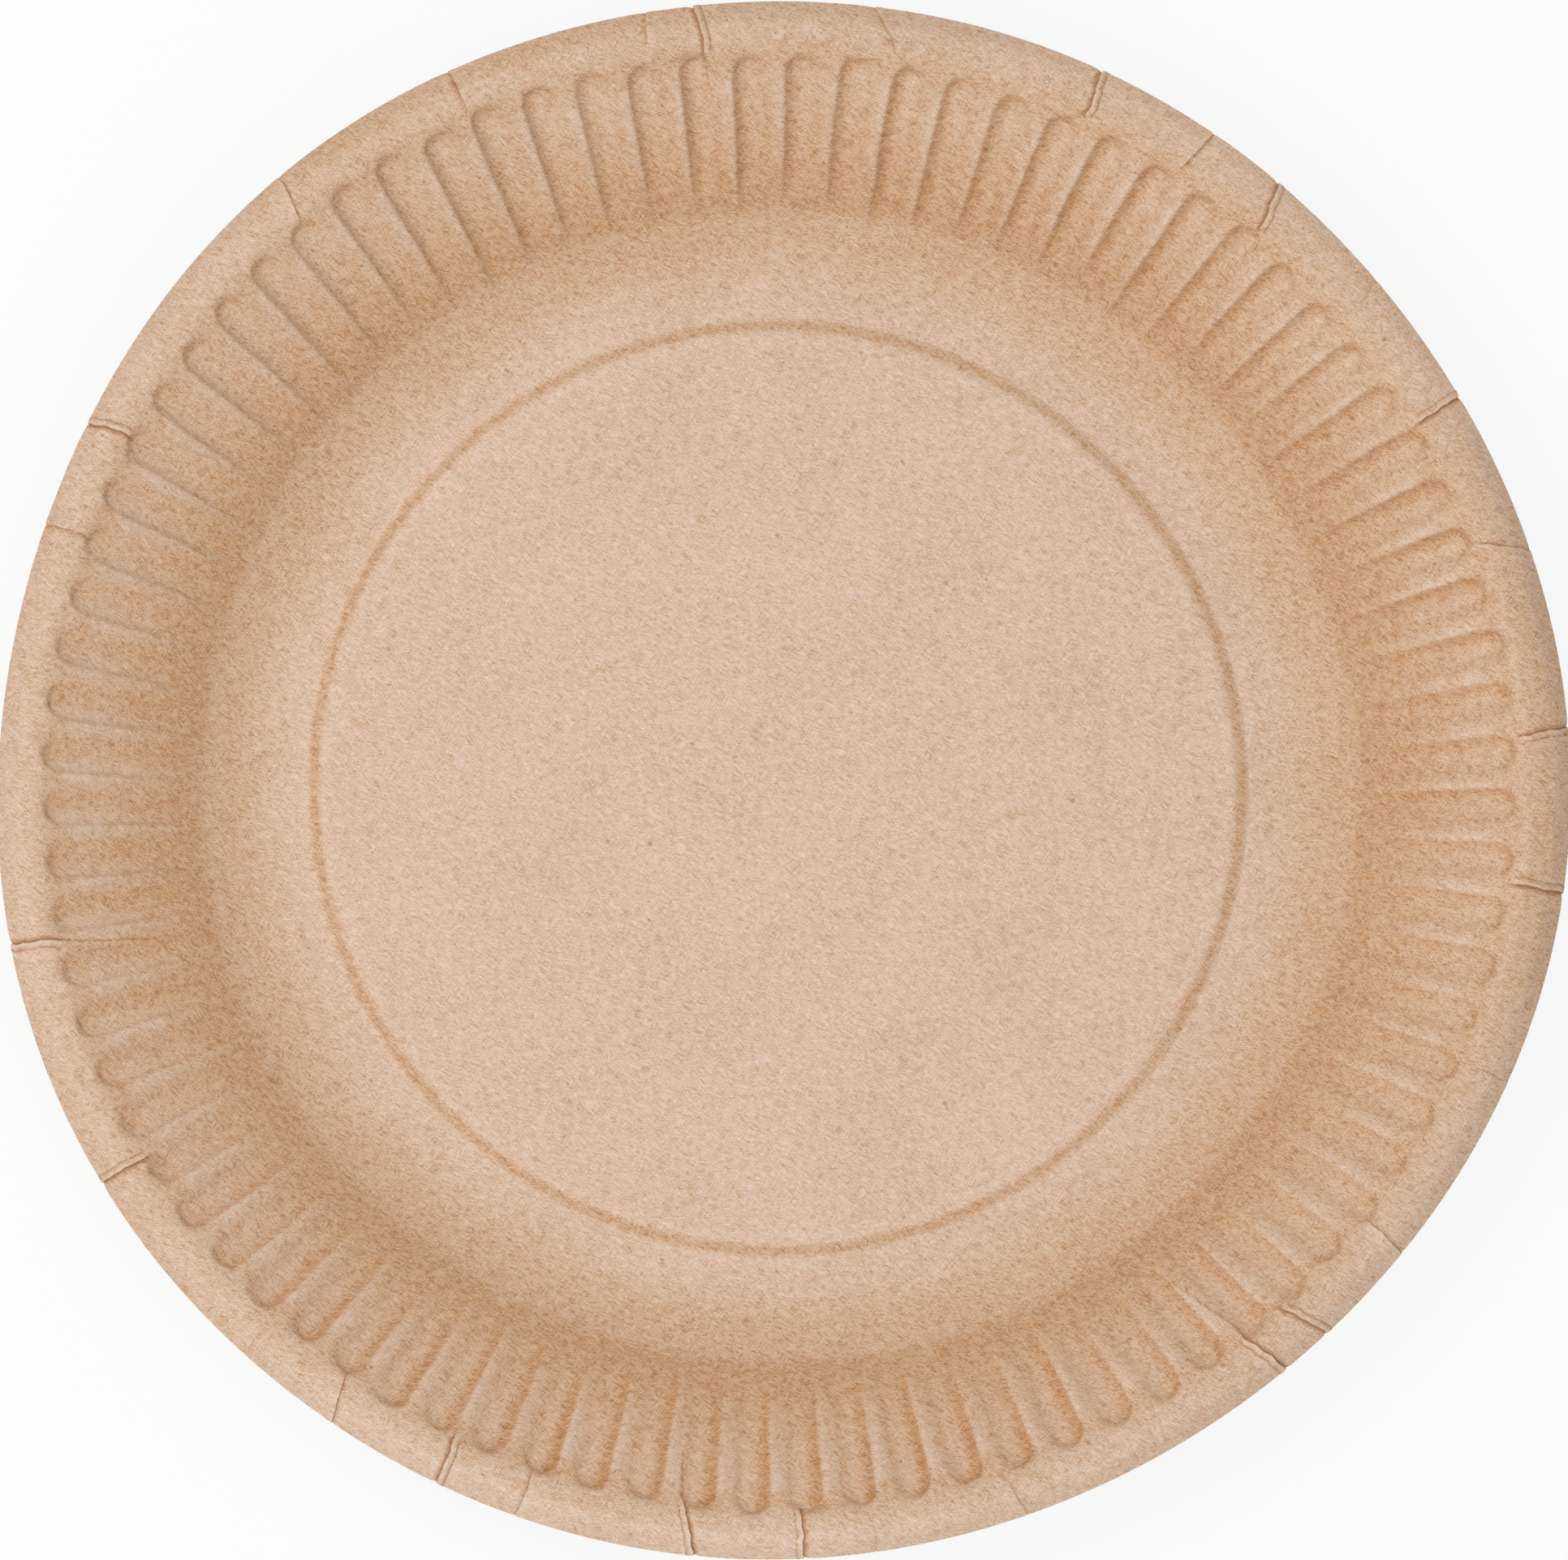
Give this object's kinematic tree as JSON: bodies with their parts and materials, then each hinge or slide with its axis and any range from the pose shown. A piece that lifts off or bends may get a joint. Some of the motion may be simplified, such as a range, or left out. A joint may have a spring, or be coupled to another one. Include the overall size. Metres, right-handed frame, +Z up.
{
  "type": "paper plate",
  "caption": "Round pressed paperboard plate with a flat centre, a fluted sloping wall and a turned-down rim.",
  "frame": {"origin": "centre of the underside, on the surface the plate stands on", "axes": "+Z up, along the plate's axis; the flutes repeat round it, so X and Y have no preferred direction"},
  "size_m": [0.23, 0.23, 0.0204],
  "materials": {
    "kraft_board": "matte"
  },
  "bodies": {
    "root": {"plate": "kraft_board"}
  },
  "joints": []
}
